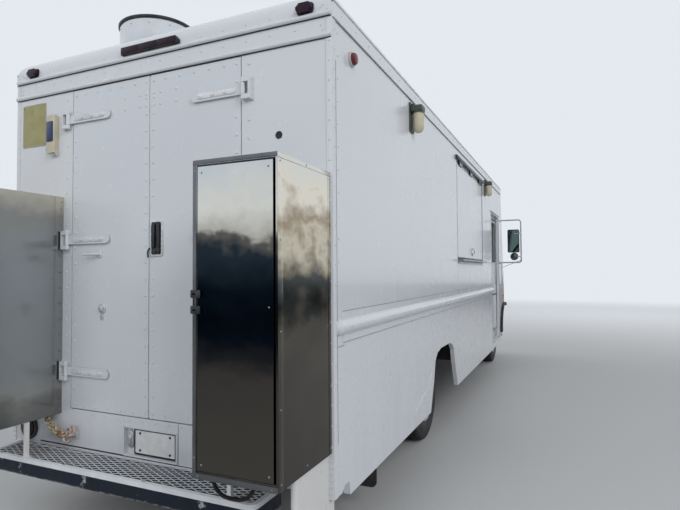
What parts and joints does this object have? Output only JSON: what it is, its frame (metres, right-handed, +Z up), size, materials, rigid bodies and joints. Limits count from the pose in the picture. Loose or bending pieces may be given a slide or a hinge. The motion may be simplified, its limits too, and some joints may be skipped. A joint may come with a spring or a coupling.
{
  "type": "food truck",
  "caption": "Long box-bodied walk-in van fitted out as a food truck: double rear doors, side serving hatch, sliding cab doors, rear steel cabinets and step bumper, roof fan.",
  "frame": {"origin": "bottom centre of the truck's box, on the ground", "axes": "+Y points to the truck's front, +X to its right side, +Z up"},
  "size_m": [3.082, 8.36, 3.4322],
  "materials": {
    "white_paint": "gloss, worn",
    "bare_aluminium": "satin",
    "stainless": "brushed",
    "dark_paint": "chipped",
    "black_iron": "painted, dusty",
    "galvanised": "matte",
    "tyre_rubber": "matte",
    "rubber": "matte",
    "glass": "clear",
    "red_lens": "gloss",
    "lamp_lens": "gloss",
    "cream_plastic": "matte",
    "black_plastic": "matte",
    "seat_vinyl": "satin",
    "white_rim": "gloss"
  },
  "bodies": {
    "body": {"right_side_wall": "white_paint", "left_side_wall": "white_paint", "rear_wall": "white_paint", "roof": "white_paint", "windshield_frame": "white_paint", "windshield": "glass", "nose": "white_paint", "grille": "black_plastic", "headlamps": "lamp_lens", "chassis": "black_iron", "floor": "bare_aluminium", "floor_boxes": "bare_aluminium", "engine": "black_iron", "engine_cover": "black_plastic", "front_bumper": "dark_paint", "cabinets": "stainless", "rear_bumper": "dark_paint", "step_grating": "white_paint", "cabinet_supports": "white_paint", "hatch_frame": "bare_aluminium", "exhaust_fan": "bare_aluminium", "red_lamps": "red_lens", "flood_lamps": "cream_plastic", "rear_box": "cream_plastic", "front_axle": "black_iron", "rear_axle": "black_iron", "leaf_springs": "black_iron", "drive_shaft": "black_iron", "exhaust_pipe": "galvanised", "fuel_tank": "black_iron", "mud_flaps": "rubber", "arch_lips": "rubber", "driver_seat": "seat_vinyl", "dashboard": "black_plastic", "mirrors": "white_paint", "hose": "rubber"},
    "hood": {"hood": "white_paint"},
    "right_rear_door": {"right_rear_door": "white_paint"},
    "left_rear_door": {"left_rear_door": "white_paint"},
    "right_cabinet_door": {"right_cabinet_door": "stainless"},
    "left_cabinet_door": {"left_cabinet_door": "stainless"},
    "serving_hatch": {"serving_hatch": "white_paint"},
    "right_cab_door": {"right_cab_door": "white_paint", "right_cab_door_glass": "glass"},
    "left_cab_door": {"left_cab_door": "white_paint", "left_cab_door_glass": "glass"},
    "right_knuckle": {"right_knuckle": "black_iron"},
    "left_knuckle": {"left_knuckle": "black_iron"},
    "right_front_wheel": {"right_front_wheel": "white_rim", "right_front_tyre": "tyre_rubber"},
    "left_front_wheel": {"left_front_wheel": "white_rim", "left_front_tyre": "tyre_rubber"},
    "right_rear_wheels": {"right_rear_wheels": "white_rim", "right_rear_tyres": "tyre_rubber"},
    "left_rear_wheels": {"left_rear_wheels": "white_rim", "left_rear_tyres": "tyre_rubber"},
    "steering_wheel": {"steering_wheel": "black_plastic"}
  },
  "joints": [
    {"name": "right_rear_door_hinge", "type": "hinge", "parent": "body", "child": "right_rear_door", "pos_m": [0.676, -3.67, 1.73], "axis": [0, 0, 1], "range_deg": [0, 90]},
    {"name": "left_rear_door_hinge", "type": "hinge", "parent": "body", "child": "left_rear_door", "pos_m": [-0.676, -3.67, 1.73], "axis": [0, 0, -1], "range_deg": [0, 90]},
    {"name": "right_cabinet_door_hinge", "type": "hinge", "parent": "body", "child": "right_cabinet_door", "pos_m": [1.156, -4.154, 1.36], "axis": [0, 0, 1], "range_deg": [0, 105]},
    {"name": "left_cabinet_door_hinge", "type": "hinge", "parent": "body", "child": "left_cabinet_door", "pos_m": [-1.156, -4.154, 1.36], "axis": [0, 0, -1], "range_deg": [0, 105]},
    {"name": "serving_hatch_hinge", "type": "hinge", "parent": "body", "child": "serving_hatch", "pos_m": [1.211, 0.3075, 2.739], "axis": [0, -1, 0], "range_deg": [0, 90]},
    {"name": "hood_hinge", "type": "hinge", "parent": "body", "child": "hood", "pos_m": [0, 3.466, 1.55421], "axis": [1, 0, 0], "range_deg": [0, 60]},
    {"name": "right_cab_door_slide", "type": "slide", "parent": "body", "child": "right_cab_door", "axis": [0, -1, 0], "range_m": [0, 0.75]},
    {"name": "left_cab_door_slide", "type": "slide", "parent": "body", "child": "left_cab_door", "axis": [0, -1, 0], "range_m": [0, 0.75]},
    {"name": "left_kingpin", "type": "hinge", "parent": "body", "child": "left_knuckle", "pos_m": [-0.8, 3.33, 0.386], "axis": [0, 0, 1], "range_deg": [-28, 28]},
    {"name": "right_kingpin", "type": "hinge", "parent": "body", "child": "right_knuckle", "pos_m": [0.8, 3.33, 0.386], "axis": [0, 0, 1], "range_deg": [-28, 28]},
    {"name": "left_front_hub", "type": "hinge", "parent": "left_knuckle", "child": "left_front_wheel", "pos_m": [-0.9325, 3.33, 0.386], "axis": [1, 0, 0], "continuous": true},
    {"name": "right_front_hub", "type": "hinge", "parent": "right_knuckle", "child": "right_front_wheel", "pos_m": [0.9325, 3.33, 0.386], "axis": [1, 0, 0], "continuous": true},
    {"name": "left_rear_hub", "type": "hinge", "parent": "body", "child": "left_rear_wheels", "pos_m": [-0.795, -1.19, 0.386], "axis": [1, 0, 0], "continuous": true},
    {"name": "right_rear_hub", "type": "hinge", "parent": "body", "child": "right_rear_wheels", "pos_m": [0.795, -1.19, 0.386], "axis": [1, 0, 0], "continuous": true},
    {"name": "steering_column", "type": "hinge", "parent": "body", "child": "steering_wheel", "pos_m": [-0.64, 2.77, 1.5], "axis": [0, -0.6428, 0.766], "range_deg": [-504, 504]}
  ],
  "couplings": [
    {"joint": "right_kingpin", "follows": "left_kingpin", "ratio": 1},
    {"joint": "steering_column", "follows": "left_kingpin", "ratio": 18}
  ]
}
